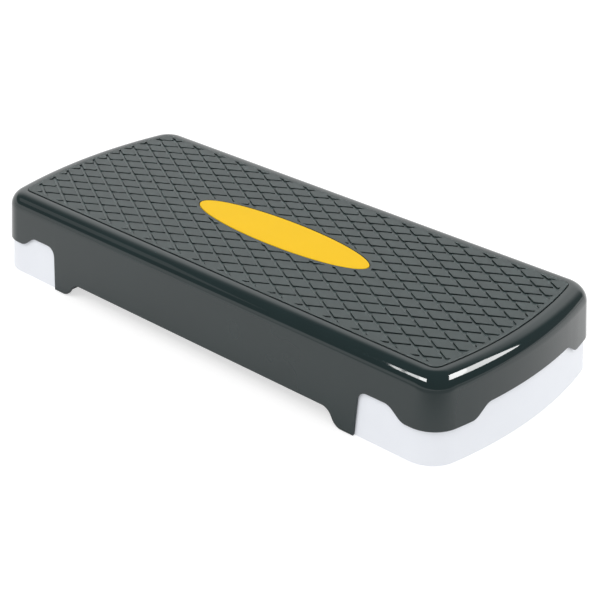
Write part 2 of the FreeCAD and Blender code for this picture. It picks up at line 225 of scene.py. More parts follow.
class StageSettings(bpy.types.PropertyGroup):
    """Camera, lamps, floor and surroundings."""
    camera: FloatVectorProperty(name="Camera", description="Camera's place", subtype="TRANSLATION",
                                default=(0.96348, -1.05294, 0.79016))
    yaw: FloatProperty(name="Yaw", description="Camera's turn about the upright, from along the deck's width",
                       default=0.7262, subtype="ANGLE")
    pitch: FloatProperty(name="Pitch", description="Camera's dip", default=0.4992, subtype="ANGLE")
    roll: FloatProperty(name="Roll", description="Camera's roll", default=0.006, subtype="ANGLE")
    lens: amount("Lens", "Focal length in millimetres", 86.59)
    lamp_height: size("Lamp height", "Height of the overhead lamps", 1500)
    ambient: amount("Ambient", "Even light from the surroundings", 0.9)
    front_light: amount("Front light", "Brightness of the front lamp on matt surfaces", 3)
    back_light: amount("Back light", "Brightness of the back lamp on matt surfaces", 1.5)
    glare: amount("Glare", "Brightness of the lamps in reflections", 15)
    core: amount("Core", "Brightness of the lamps' bright parts in reflections", 21)
    card: amount("Card", "Brightness of the reflecting card on the left", 0.7)
    backdrop: amount("Backdrop", "Brightness of the white backdrop in reflections", 1.35)
    studio: amount("Studio", "Brightness of the rest of the studio in reflections", 0.22)
    sweep: amount("Sweep", "Brightness of the floor's far edge in reflections", 1.15)
    floor_reach: size("Floor reach", "Floor's edge from the middle", 12000)
    floor_white: amount("Floor white", "Floor's share of the light on it, as the camera sees it", 0.55)
    floor_glow: amount("Floor glow", "Floor's brightness in the deepest shadow, as the camera sees it", 0.62)
    floor_gloss: amount("Floor in gloss", "Floor's share of the light on it, as reflections show it", 1.22)
    floor_dim: amount("Floor dim", "The same, for the floor far out in front", 0.6)
    dim_start: size("Dim start", "Where the floor starts to dim, from the middle towards the camera", 360)
    dim_end: size("Dim end", "Where the floor is fully dim, from the middle towards the camera", 560)


class StepSettings(bpy.types.PropertyGroup):
    """All settings of the step."""
    deck: PointerProperty(type=DeckSizes)
    edge: PointerProperty(type=LowerEdgeSizes)
    underside: PointerProperty(type=UndersideSizes)
    tread: PointerProperty(type=TreadSizes)
    badge: PointerProperty(type=BadgeSizes)
    finish: PointerProperty(type=Finishes)
    stage: PointerProperty(type=StageSettings)


# Plan and mesh helpers

class Plan:
    """Outline of the deck in plan, followed from the middle of the front to the middle of the right end."""

    def __init__(self, deck):
        self.half_width = deck.width / 2
        self.bow = deck.end_bow
        self.corner = deck.corner
        self.wall = deck.wall
        self.slope = math.tan(deck.draft)
        self.bow_x = deck.length / 2 - self.bow
        self.corner_y = self.half_width - self.corner
        self.corner_x = self.bow_x + math.sqrt((self.bow - self.corner) ** 2 - self.corner_y ** 2)
        self.bow_angle = math.atan2(self.corner_y, self.corner_x - self.bow_x)
        self.corner_run = self.corner_x + self.corner * (math.pi / 2 - self.bow_angle)
        self.full_run = self.corner_run + self.bow * self.bow_angle

    def place(self, flat):
        """Point of the bent outline for a flat one: its run, its inset behind the outline, and its height."""
        run, inset, z = flat
        if run <= self.corner_x:
            return Vector((run, inset - self.half_width, z))
        if run <= self.corner_run:
            angle = (run - self.corner_x) / self.corner - math.pi / 2
            centre = Vector((self.corner_x, -self.corner_y, z))
            radius = self.corner - inset
        else:
            angle = (run - self.full_run) / self.bow
            centre = Vector((self.bow_x, 0, z))
            radius = self.bow - inset
        return centre + radius * Vector((math.cos(angle), math.sin(angle), 0))

    def end_run(self, y, z):
        """Run of the skirt's point on the bowed end at a distance y from the middle."""
        return self.full_run - self.bow * math.asin(y / (self.bow - z * self.slope))

    def wall_y(self, z):
        """Distance from the deck's middle to the middle of a side's wall, at a height."""
        return self.half_width - z * self.slope - self.wall / 2

    def bends(self):
        """Runs at which a flat strip is cut so that it can bend."""
        corner_step = (self.corner_run - self.corner_x) / CORNER_PARTS
        bow_step = (self.full_run - self.corner_run) / BOW_PARTS
        corner = [self.corner_x + corner_step * number for number in range(CORNER_PARTS)]
        return corner + [self.corner_run + bow_step * number for number in range(BOW_PARTS)]


def parts_of(geometry, kind):
    """Elements of one kind from an operator's result."""
    return [element for element in geometry if isinstance(element, kind)]


def everything(bm):
    """All elements of a mesh."""
    return bm.verts[:] + bm.edges[:] + bm.faces[:]


def round_off(bm, elements, offset, segments, affect="EDGES"):
    """Rounds edges or vertices by a bevel."""
    bmesh.ops.bevel(bm, geom=elements, offset=offset, offset_type="OFFSET", affect=affect, segments=segments,
                    profile=0.5, material=-1, clamp_overlap=False)


def rounded_wire(bm, corners, closed):
    """Wire through corners (point, radius), with an arc of that radius at each corner."""
    points = [Vector(point) for point, radius in corners]
    radii = [radius for point, radius in corners]
    verts = [bm.verts.new(point) for point in points]
    pairs = list(zip(verts, verts[1:]))
    if closed:
        pairs.append((verts[-1], verts[0]))
    for pair in pairs:
        bm.edges.new(pair)
    for index, radius in enumerate(radii):
        if radius > 0:
            back = points[index - 1] - points[index]
            ahead = points[(index + 1) % len(points)] - points[index]
            reach = radius / math.tan(back.angle(ahead) / 2)
            round_off(bm, [verts[index]], reach, ARC_PARTS, affect="VERTICES")
    return [edge for edge in bm.edges if edge.is_wire]


def extrude_row(bm, row, move):
    """Strip of faces from a row of edges to the row that move gives; returns the new row."""
    made = bmesh.ops.extrude_edge_only(bm, edges=row)["geom"]
    verts = set(parts_of(made, bmesh.types.BMVert))
    for vert in verts:
        vert.co = move(vert.co)
    return [edge for edge in parts_of(made, bmesh.types.BMEdge) if set(edge.verts) <= verts]


def slab(bm, corners, across):
    """Flat panel through corners (point, radius), as thick as the vector across and centred on them."""
    centred = [(Vector(point) - across / 2, radius) for point, radius in corners]
    wire = rounded_wire(bm, centred, closed=True)
    face = bmesh.ops.contextual_create(bm, geom=wire)["faces"]
    made = bmesh.ops.extrude_face_region(bm, geom=face)["geom"]
    bmesh.ops.translate(bm, verts=parts_of(made, bmesh.types.BMVert), vec=across)


def mirror(bm, axis):
    """Mirrors the whole mesh and joins it along the mirror plane."""
    bmesh.ops.mirror(bm, geom=everything(bm), matrix=Matrix.Identity(4), merge_dist=MERGE, axis=axis)


def add_mesh(bm, other):
    """Adds another mesh to a mesh, and frees the other."""
    scratch = bpy.data.meshes.new("scratch")
    other.to_mesh(scratch)
    other.free()
    bm.from_mesh(scratch)
    bpy.data.meshes.remove(scratch)


def make_object(name, bm, materials):
    """Object of a finished mesh, in the scene."""
    mesh = bpy.data.meshes.new(name)
    bm.to_mesh(mesh)
    bm.free()
    for material in materials:
        mesh.materials.append(material)
    made = bpy.data.objects.new(name, mesh)
    bpy.context.scene.collection.objects.link(made)
    return made


def make_piece(name, bm, materials, nodes, body="platform"):
    """Sets a mesh's normals and shading, and makes it the piece that stands for CAD nodes on a body."""
    bmesh.ops.remove_doubles(bm, verts=bm.verts[:], dist=MERGE)
    bmesh.ops.recalc_face_normals(bm, faces=bm.faces[:])
    for face in bm.faces:
        face.smooth = True
    for edge in bm.edges:
        edge.smooth = len(edge.link_faces) == 2 and edge.calc_face_angle() < SHARP_ANGLE
    piece = make_object(name, bm, materials)
    weighted = piece.modifiers.new("Weighted normals", "WEIGHTED_NORMAL")
    weighted.keep_sharp = True
    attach(piece, body)
    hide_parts(*nodes)


# Materials

def add_node(tree, kind, inputs=None, **settings):
    """Adds a node with its settings, and its inputs as values or links."""
    node = tree.nodes.new(kind)
    for name, value in settings.items():
        setattr(node, name, value)
    for key, value in (inputs or {}).items():
        if isinstance(value, bpy.types.NodeSocket):
            tree.links.new(value, node.inputs[key])
        else:
            node.inputs[key].default_value = value
    return node


def new_material(name):
    """Empty material with an output and object coordinates; returns it with its tree and those sockets."""
    material = bpy.data.materials.get(name) or bpy.data.materials.new(name)
    material.use_nodes = True
    tree = material.node_tree
    tree.nodes.clear()
    surface = add_node(tree, "ShaderNodeOutputMaterial").inputs["Surface"]
    place = add_node(tree, "ShaderNodeTexCoord").outputs["Object"]
    return material, tree, surface, place


def tinted(base, factor):
    """Colour scaled by a factor, with its alpha."""
    return [min(channel * factor, 1) for channel in base] + [1]


def per(millimetres):
    """Texture scale for a pattern of a real size."""
    return 1 / (millimetres * MM)


def shade(tree, surface, base, tone, tones, grain, gloss, shading):
    """Shader whose colour runs between two tones with one noise, and its gloss over a range with another."""
    paint = add_node(tree, "ShaderNodeMix",
                     {0: tone.outputs["Fac"], 6: tinted(base, tones[0]), 7: tinted(base, tones[1])},
                     data_type="RGBA")
    rough = add_node(tree, "ShaderNodeMapRange",
                     {"Value": grain.outputs["Fac"], "To Min": gloss[0], "To Max": gloss[1]})
    shader = add_node(tree, "ShaderNodeBsdfPrincipled",
                      {"Base Color": paint.outputs[2], "Roughness": rough.outputs[0], **shading})
    tree.links.new(shader.outputs[0], surface)


def polished_polypropylene(finish):
    """Polypropylene moulded in a polished tool: nearly black, mirror-like, with faint flow waves and handling
    scuffs that only show where it reflects something bright."""
    material, tree, surface, place = new_material("polished_polypropylene")
    flow = add_node(tree, "ShaderNodeTexNoise", {"Vector": place, "Scale": per(70), "Detail": 2})
    scuff = add_node(tree, "ShaderNodeTexNoise",
                     {"Vector": place, "Scale": per(6), "Detail": 6, "Roughness": 0.7})
    waves = add_node(tree, "ShaderNodeBump",
                     {"Height": flow.outputs["Fac"], "Strength": 0.2, "Distance": 0.1 * MM})
    shade(tree, surface, finish.slate, tone=flow, tones=(0.85, 1.2), grain=scuff, gloss=(0.015, 0.055),
          shading={"IOR": 1.49, "Normal": waves.outputs[0]})
    return material


def moulded_rubber(name, base, grain, roughness, specular=0.5):
    """Thermoplastic rubber moulded in an eroded tool: matt, with a fine grain and a dusty, uneven tone. The
    grain is drawn coarser than the tool's, so that it shows."""
    material, tree, surface, place = new_material(name)
    dust = add_node(tree, "ShaderNodeTexNoise", {"Vector": place, "Scale": per(45), "Detail": 5})
    grit = add_node(tree, "ShaderNodeTexNoise", {"Vector": place, "Scale": per(grain), "Detail": 3})
    grainy = add_node(tree, "ShaderNodeBump",
                      {"Height": grit.outputs["Fac"], "Strength": 0.35, "Distance": 0.12 * MM})
    shade(tree, surface, base, tone=dust, tones=(0.9, 1.1), grain=grit,
          gloss=(roughness - 0.08, roughness + 0.08),
          shading={"IOR": 1.5, "Specular IOR Level": specular, "Normal": grainy.outputs[0]})
    return material


def moulded_plastic(name, base, roughness, grain, relief, specular=0.5):
    """Plastic moulded in a lightly textured tool: satin, with a soft grain and a slightly uneven tone. The
    grain is drawn coarser than the tool's here too."""
    material, tree, surface, place = new_material(name)
    cloud = add_node(tree, "ShaderNodeTexNoise", {"Vector": place, "Scale": per(60), "Detail": 3})
    skin = add_node(tree, "ShaderNodeTexNoise", {"Vector": place, "Scale": per(grain), "Detail": 3})
    grainy = add_node(tree, "ShaderNodeBump",
                      {"Height": skin.outputs["Fac"], "Strength": 0.25, "Distance": relief * MM})
    shade(tree, surface, base, tone=cloud, tones=(0.97, 1.03), grain=skin,
          gloss=(roughness - 0.05, roughness + 0.05),
          shading={"IOR": 1.49, "Specular IOR Level": specular, "Normal": grainy.outputs[0]})
    return material


def zinc_plated_steel(finish):
    """Steel with a bright zinc plating: a pale grey metal with a fine, cloudy spangle."""
    material, tree, surface, place = new_material("zinc_plated_steel")
    spangle = add_node(tree, "ShaderNodeTexNoise", {"Vector": place, "Scale": per(1.5), "Detail": 4})
    shade(tree, surface, finish.zinc, tone=spangle, tones=(0.8, 1.1), grain=spangle, gloss=(0.22, 0.42),
          shading={"Metallic": 1.0})
    return material


# Deck moulding

def lower_edge(bm, plan, edge):
    """Wire of the skirt's wavy lower edge, flat, from the middle of the front to the middle of the end."""
    foot_inner = edge.foot_outer - edge.foot_width
    end_tab = edge.end_window + edge.ramp_run
    corners = [
        (0, edge.arch_height, 0),
        (foot_inner - edge.arch_run, edge.arch_height, edge.arch_round),
        (foot_inner, edge.lift, edge.arch_round),
        (edge.foot_outer, edge.lift, 0),
        (edge.foot_outer + edge.foot_lean, edge.window_height, edge.window_round),
        (edge.tab_start, edge.window_height, edge.ramp_round),
        (edge.tab_start + edge.ramp_run, edge.tab_height, edge.ramp_round),
        (plan.end_run(end_tab, edge.tab_height), edge.tab_height, edge.ramp_round),
        (plan.end_run(edge.end_window, edge.window_height), edge.window_height, edge.ramp_round),
        (plan.full_run, edge.window_height, 0),
    ]
    wire = rounded_wire(bm, [((run, 0, z), radius) for run, z, radius in corners], closed=False)
    for vert in bm.verts:
        vert.co.y = vert.co.z * plan.slope
    return wire


def round_over(inset, z, radius, draft, parts):
    """Profile points (inset, height) of the arc that joins a drafted wall to the level face above it. The two
    would meet at the point given."""
    bend = math.pi / 2 - draft
    middle_inset = inset + radius * math.tan(bend / 2)
    angles = [draft + bend * part / parts for part in range(parts + 1)]
    return [(middle_inset - radius * math.cos(angle), z - radius + radius * math.sin(angle))
            for angle in angles]


def deck_moulding(settings):
    """Skirt, rim, recess and underside: a strip bent round the plan, and closed above and below."""
    deck = settings.deck
    plan = Plan(deck)
    slope = plan.slope
    recess_inset = deck.rim_top * slope + deck.rim_border - deck.groove
    under_z = mat_low.z - deck.plate
    under_inset = under_z * slope + deck.wall
    bm = bmesh.new()

    outer = lower_edge(bm, plan, settings.edge)
    inner = extrude_row(bm, outer, lambda co: Vector((co.x, co.y + deck.wall, co.z)))
    above = round_over(deck.rim_top * slope, deck.rim_top, deck.rim_round, deck.draft, RIM_PARTS)
    above += [(recess_inset - deck.rim_lip, deck.rim_top), (recess_inset, deck.rim_top - deck.rim_lip),
              (recess_inset, mat_low.z)]
    below = round_over(under_inset, under_z, deck.rim_round - deck.wall, deck.draft, UNDER_RIM_PARTS)
    below += [(recess_inset + deck.wall, under_z)]
    for row, profile in ((outer, above), (inner, below)):
        for inset, z in profile:
            row = extrude_row(bm, row, lambda co: Vector((co.x, inset, z)))
    bmesh.ops.recalc_face_normals(bm, faces=bm.faces[:])
    round_off(bm, outer + inner, deck.lip, segments=2)

    for run in plan.bends():
        bmesh.ops.bisect_plane(bm, geom=everything(bm), dist=MERGE, plane_co=(run, 0, 0), plane_no=(1, 0, 0))
    for vert in bm.verts:
        vert.co = plan.place(vert.co)
    mirror(bm, "X")
    mirror(bm, "Y")
    bmesh.ops.holes_fill(bm, edges=[edge for edge in bm.edges if edge.is_boundary], sides=0)
    return bm


# Underside

def deck_ribs(settings):
    """Ribs and bulkheads under the deck, and the soles of the four feet."""
    deck = settings.deck
    edge = settings.edge
    under = settings.underside
    plan = Plan(deck)
    bm = bmesh.new()
    deck_middle = mat_low.z - deck.plate / 2
    rib_low = mat_low.z - deck.plate - under.rib_depth
    shoulder = deck.rim_round - deck.wall / 2
    bulkhead_x = edge.foot_outer - edge.foot_width / 2
    sole_inner = plan.half_width - under.sole_depth
    foot_y = plan.wall_y(edge.lift)
    rib_y = plan.wall_y(rib_low)
    top_y = plan.wall_y(deck_middle)

    step = 2 * bulkhead_x / (under.cross_ribs + 1)
    for number in range(under.cross_ribs):
        x = (number + 1) * step - bulkhead_x
        corners = [((x, -rib_y, rib_low), 0), ((x, rib_y, rib_low), 0),
                   ((x, top_y, deck_middle), shoulder), ((x, -top_y, deck_middle), shoulder)]
        slab(bm, corners, Vector((under.rib_wall, 0, 0)))
    for number in (-1, 0, 1):
        y = number * under.long_rib_step
        corners = [((-bulkhead_x, y, rib_low), 0), ((bulkhead_x, y, rib_low), 0),
                   ((bulkhead_x, y, deck_middle), 0), ((-bulkhead_x, y, deck_middle), 0)]
        slab(bm, corners, Vector((0, under.rib_wall, 0)))
    for sign in (-1, 1):
        x = sign * bulkhead_x
        corners = [((x, -foot_y, edge.lift), 0), ((x, -sole_inner, edge.lift), 0),
                   ((x, -sole_inner, edge.arch_height), 0), ((x, sole_inner, edge.arch_height), 0),
                   ((x, sole_inner, edge.lift), 0), ((x, foot_y, edge.lift), 0),
                   ((x, top_y, deck_middle), shoulder), ((x, -top_y, deck_middle), shoulder)]
        slab(bm, corners, Vector((under.bulkhead_wall, 0, 0)))
    add_mesh(bm, foot_soles(settings))
    return bm


def foot_soles(settings):
    """Soles of the four feet, each with a recess for its rubber pad."""
    edge = settings.edge
    under = settings.underside
    plan = Plan(settings.deck)
    half_width = under.sole_width / 2
    half_pad_x = under.pad_width / 2
    half_pad_y = under.pad_length / 2
    outer_y = plan.wall_y(edge.lift + under.sole_wall / 2)
    inner_y = plan.half_width - under.sole_depth
    middle_y = plan.half_width - under.sole_depth / 2
    outline = [((under.sole_middle + sign * half_width, -y, edge.lift), 0)
               for sign, y in ((-1, outer_y), (1, outer_y), (1, inner_y), (-1, inner_y))]
    recess = [((under.sole_middle + sign_x * half_pad_x, sign_y * half_pad_y - middle_y, edge.lift),
               under.pad_round)
              for sign_x, sign_y in ((-1, -1), (1, -1), (1, 1), (-1, 1))]
    bm = bmesh.new()
    outer = rounded_wire(bm, outline, closed=True)
    inner = [wire for wire in rounded_wire(bm, recess, closed=True) if wire not in outer]
    bmesh.ops.bridge_loops(bm, edges=outer + inner)
    for row, rise in ((outer, under.sole_wall), (inner, under.pad_depth)):
        cap = extrude_row(bm, row, lambda co: co + Vector((0, 0, rise)))
        bmesh.ops.contextual_create(bm, geom=cap)
    bmesh.ops.recalc_face_normals(bm, faces=bm.faces[:])
    mirror(bm, "X")
    mirror(bm, "Y")
    return bm


def guide_posts(settings):
    """Four hollow posts with a bolt hole for each height of a leg, a screw core and a fin."""
    under = settings.underside
    deck_middle = mat_low.z - settings.deck.plate / 2
    bm = bmesh.new()
    centre = Matrix.Translation((under.post_x, -under.post_y, under.post_bottom))
    bmesh.ops.create_circle(bm, segments=POST_SIDES, radius=under.post_radius, matrix=centre)
    row = bm.edges[:]
    holes = [(under.hole_low - drop, under.hole_high - drop) for drop in (under.leg_travel, 0)]
    for z in [height for hole in holes for height in hole] + [deck_middle]:
        row = extrude_row(bm, row, lambda co: Vector((co.x, co.y, z)))
    windows = []
    for face in bm.faces:
        middle = face.calc_center_median()
        out = Vector((middle.x - under.post_x, middle.y + under.post_y))
        at_hole = any(low < middle.z < high for low, high in holes)
        if at_hole and abs(math.atan2(out.x, out.y)) < under.hole_turn:
            windows.append(face)
    bmesh.ops.delete(bm, geom=windows, context="FACES")
    bmesh.ops.recalc_face_normals(bm, faces=bm.faces[:])
    bmesh.ops.solidify(bm, geom=bm.faces[:], thickness=under.post_wall)

    core = bmesh.ops.create_circle(bm, segments=CORE_SIDES, radius=under.post_core, cap_ends=True,
                                   matrix=centre)
    rim = {edge for vert in core["verts"] for edge in vert.link_edges}
    extrude_row(bm, list(rim), lambda co: Vector((co.x, co.y, deck_middle)))
    half_fin = under.post_radius - under.post_wall / 2
    low = under.post_bottom
    corners = [((under.post_x + sign * half_fin, -under.post_y, z), 0)
               for sign, z in ((-1, low), (1, low), (1, deck_middle), (-1, deck_middle))]
    slab(bm, corners, Vector((0, under.post_fin, 0)))
    mirror(bm, "X")
    mirror(bm, "Y")
    return bm


# Tread mat and badge

def oval_loop(bm, margin, z):
    """Oval round the badge, larger all round by margin."""
    spread = Matrix.Diagonal((badge_high.x + margin, badge_high.y + margin, 1, 1))
    lifted = Matrix.Translation((0, 0, z)) @ spread
    return bmesh.ops.create_circle(bm, segments=OVAL_SIDES, radius=1, matrix=lifted)["verts"]


def loop_edges(verts):
    """Edges between the vertices of a loop."""
    inside = set(verts)
    return list({edge for vert in verts for edge in vert.link_edges if set(edge.verts) <= inside})


def by_angle(verts):
    """Vertices in their order round the middle."""
    return sorted(verts, key=lambda vert: math.atan2(vert.co.y, vert.co.x) % (2 * math.pi))


def mat_plan(bm, tread, deck):
    """Plan of the mat at its channels' height: strips along its edge and round the badge, which it returns,
    and the field between them, in two halves."""
    plan = Plan(deck)
    floor_z = mat_high.z - tread.depth
    mat_inset = deck.rim_top * plan.slope + deck.rim_border
    runs = [0] + plan.bends() + [plan.full_run]
    quarter = [bm.verts.new(plan.place((run, mat_inset, floor_z))) for run in runs]
    for pair in zip(quarter, quarter[1:]):
        bm.edges.new(pair)
    mirror(bm, "X")
    mirror(bm, "Y")
    face = bmesh.ops.contextual_create(bm, geom=bm.edges[:])["faces"]
    bmesh.ops.inset_region(bm, faces=face, thickness=tread.border, use_boundary=True, use_even_offset=True)
    inner = by_angle(face[0].verts)
    bmesh.ops.delete(bm, geom=face, context="FACES_ONLY")
    margin = by_angle(oval_loop(bm, tread.oval_gap + tread.oval_border, floor_z))
    opening = oval_loop(bm, tread.oval_gap, floor_z)
    bmesh.ops.bridge_loops(bm, edges=loop_edges(margin) + loop_edges(opening))
    strips = bm.faces[:]

    halves = []
    for sign in (1, -1):
        half_inner = [vert for vert in inner if sign * vert.co.y > -MERGE]
        half_margin = [vert for vert in margin if sign * vert.co.y > -MERGE]
        half_inner.sort(key=lambda vert: vert.co.x)
        half_margin.sort(key=lambda vert: -vert.co.x)
        halves.append(bm.faces.new(half_inner + half_margin))
    bmesh.ops.recalc_face_normals(bm, faces=bm.faces[:])
    if halves[0].normal.z < 0:
        bmesh.ops.reverse_faces(bm, faces=bm.faces[:])
    for half in halves:
        half.material_index = CHANNEL_SLOT
    return strips


class PadLattice:
    """Lattice of the rhombic pads: two families of lines, with a pad's middle where two of them cross."""

    def __init__(self, tread):
        diagonal = math.hypot(tread.half_long, tread.half_short)
        self.half_long = tread.half_long
        self.pitch = 2 * tread.half_long * tread.half_short / diagonal
        self.pad_share = 1 - tread.channel / self.pitch
        self.tip_x = self.pad_share * tread.half_long - tread.tip
        self.normals = [Vector((sign * tread.half_short, tread.half_long, 0)) / diagonal for sign in (-1, 1)]

    def shares(self, point):
        """Distances along both families, in pitches."""
        return [point.dot(normal) / self.pitch for normal in self.normals]

    def column(self, point):
        """Number of the column of pads that a point belongs to, counted along the deck."""
        back, ahead = [round(share) for share in self.shares(point)]
        return ahead - back

    def in_rhombus(self, point):
        """Whether a point lies on a pad, its cut tips included."""
        return all(abs(share - round(share)) < self.pad_share / 2 for share in self.shares(point))

    def in_pad(self, point):
        """Whether a point lies on a pad."""
        return self.in_rhombus(point) and abs(point.x - self.column(point) * self.half_long) < self.tip_x


def field_of(bm):
    """Faces of the mat's field, in which the pads and channels lie."""
    return [face for face in bm.faces if face.material_index == CHANNEL_SLOT]


def pads_of(bm, lattice):
    """Faces of the field that are pads."""
    return [face for face in field_of(bm) if lattice.in_pad(face.calc_center_median())]


def in_field(element):
    """Whether all faces at an edge or a vertex belong to the field."""
    return all(face.material_index == CHANNEL_SLOT for face in element.link_faces)


def cut(bm, faces, point, normal):
    """Cuts some faces along a plane."""
    edges = {edge for face in faces for edge in face.edges}
    verts = {vert for face in faces for vert in face.verts}
    geometry = faces + list(edges) + list(verts)
    bmesh.ops.bisect_plane(bm, geom=geometry, dist=MERGE, plane_co=point, plane_no=normal)


def cut_channels(bm, lattice):
    """Cuts the field along both sides of each channel, and joins its halves along the middle of the deck."""
    lines = math.ceil(max(abs(share) for vert in bm.verts for share in lattice.shares(vert.co)))
    for normal in lattice.normals:
        for number in range(-lines, lines + 1):
            for side in (-1, 1):
                share = number + side * lattice.pad_share / 2
                cut(bm, field_of(bm), normal * share * lattice.pitch, normal)
    seam = []
    for edge in bm.edges:
        on_axis = all(abs(vert.co.y) < MERGE for vert in edge.verts)
        if on_axis and in_field(edge):
            seam.append(edge)
    bmesh.ops.dissolve_edges(bm, edges=seam, use_verts=True)


def cut_tips(bm, lattice):
    """Cuts back the pointed ends of the pads, a column at a time."""
    columns = {}
    for face in field_of(bm):
        middle = face.calc_center_median()
        if lattice.in_rhombus(middle):
            columns.setdefault(lattice.column(middle), []).append(face)
    for number, faces in columns.items():
        for side in (-1, 1):
            faces = [face for face in faces if face.is_valid]
            tip = Vector((number * lattice.half_long + side * lattice.tip_x, 0, 0))
            cut(bm, faces, tip, Vector((1, 0, 0)))


def round_pads(bm, lattice, corner):
    """Rounds the pads' corners in plan, where the edges beside them leave room."""
    corners = []
    for vert in {vert for face in pads_of(bm, lattice) for vert in face.verts}:
        roomy = all(edge.calc_length() > CORNER_ROOM * corner for edge in vert.link_edges)
        if roomy and in_field(vert):
            corners.append(vert)
    round_off(bm, corners, corner, segments=2, affect="VERTICES")


def raise_tops(bm, tops, tread):
    """Raises the pads and the level strips above the channels, and rounds their upper edges."""
    for face in tops:
        face.material_index = PAD_SLOT
    edges = list({edge for face in tops for edge in face.edges})
    made = bmesh.ops.extrude_face_region(bm, geom=tops + edges)["geom"]
    upper = set(parts_of(made, bmesh.types.BMVert))
    bmesh.ops.translate(bm, verts=list(upper), vec=(0, 0, tread.depth))
    bmesh.ops.delete(bm, geom=[face for face in tops if face.is_valid], context="FACES")
    rims = []
    for edge in bm.edges:
        if set(edge.verts) <= upper and len(edge.link_faces) == 2 and edge.calc_face_angle() > SHARP_ANGLE:
            rims.append(edge)
    round_off(bm, rims, tread.edge, segments=1)


def close_below(bm):
    """Closes the mat down to its lower face, and gives its upright faces a darker rubber as painted shade."""
    foot = [edge for edge in bm.edges if edge.is_boundary]
    base = extrude_row(bm, foot, lambda co: Vector((co.x, co.y, mat_low.z)))
    bmesh.ops.bridge_loops(bm, edges=base)
    bm.normal_update()
    for face in bm.faces:
        if abs(face.normal.z) < UPRIGHT:
            face.material_index = SHADED_SIDE_SLOT


def tread_mat(settings):
    """Rubber mat: level strips and rhombic pads above a grid of channels, round an oval opening."""
    tread = settings.tread
    lattice = PadLattice(tread)
    bm = bmesh.new()
    strips = mat_plan(bm, tread, settings.deck)
    cut_channels(bm, lattice)
    cut_tips(bm, lattice)
    round_pads(bm, lattice, tread.corner)
    least_area = LEAST_PAD * tread.corner ** 2
    tops = [face for face in strips if face.is_valid]
    tops += [face for face in pads_of(bm, lattice) if face.calc_area() > least_area]
    raise_tops(bm, tops, tread)
    close_below(bm)
    return bm


def badge(settings):
    """Bare oval plate with a bevelled edge."""
    bm = bmesh.new()
    oval_loop(bm, 0, badge_low.z)
    row = bm.edges[:]
    bmesh.ops.contextual_create(bm, geom=row)
    top = extrude_row(bm, row, lambda co: Vector((co.x, co.y, badge_high.z)))
    bmesh.ops.contextual_create(bm, geom=top)
    round_off(bm, top, settings.badge.bevel, segments=3)
    return bm


# Stage

def make_sheet(name, corners, z, material):
    """Level sheet of the stage."""
    bm = bmesh.new()
    bm.faces.new([bm.verts.new((x, y, z)) for x, y in corners])
    sheet = make_object(name, bm, [material])
    return sheet


def make_floor(stage):
    """Pale floor, white to the camera and in reflections, where it dims far out in front. It keeps the step's
    shadow, and is clear from below. Each half goes down with the leg that stands on it."""
    material, tree, surface, place = new_material("studio_floor")
    rays = add_node(tree, "ShaderNodeLightPath").outputs
    front = Vector((stage.camera[0], stage.camera[1], 0)).normalized()
    distance = add_node(tree, "ShaderNodeVectorMath", {0: place, 1: front}, operation="DOT_PRODUCT")
    gloss = add_node(tree, "ShaderNodeMapRange",
                     {"Value": distance.outputs["Value"],
                      "From Min": stage.dim_start, "From Max": stage.dim_end,
                      "To Min": stage.floor_gloss, "To Max": stage.floor_dim},
                     interpolation_type="SMOOTHSTEP")
    paint = add_node(tree, "ShaderNodeMix",
                     {0: rays["Is Camera Ray"], 6: gloss.outputs[0], 7: [stage.floor_white] * 3 + [1]},
                     data_type="RGBA")
    matt = add_node(tree, "ShaderNodeBsdfDiffuse", {"Color": paint.outputs[2]})
    glow = add_node(tree, "ShaderNodeMath", {0: rays["Is Camera Ray"], 1: stage.floor_glow},
                    operation="MULTIPLY")
    light = add_node(tree, "ShaderNodeEmission", {"Strength": glow.outputs[0]})
    bright = add_node(tree, "ShaderNodeAddShader", {0: matt.outputs[0], 1: light.outputs[0]})
    clear = add_node(tree, "ShaderNodeBsdfTransparent")
    below = add_node(tree, "ShaderNodeNewGeometry").outputs["Backfacing"]
    shown = add_node(tree, "ShaderNodeMixShader", {0: below, 1: bright.outputs[0], 2: clear.outputs[0]})
    tree.links.new(shown.outputs[0], surface)
    material.cycles.emission_sampling = "NONE"
    reach = stage.floor_reach
    for side, low, high in (("left", -reach, 0), ("right", 0, reach)):
        corners = [(low, -reach), (high, -reach), (high, reach), (low, reach)]
        half = make_sheet(f"floor_{side}", corners, 0, material)
        half.visible_diffuse = False
        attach(half, f"{side}_leg_body")


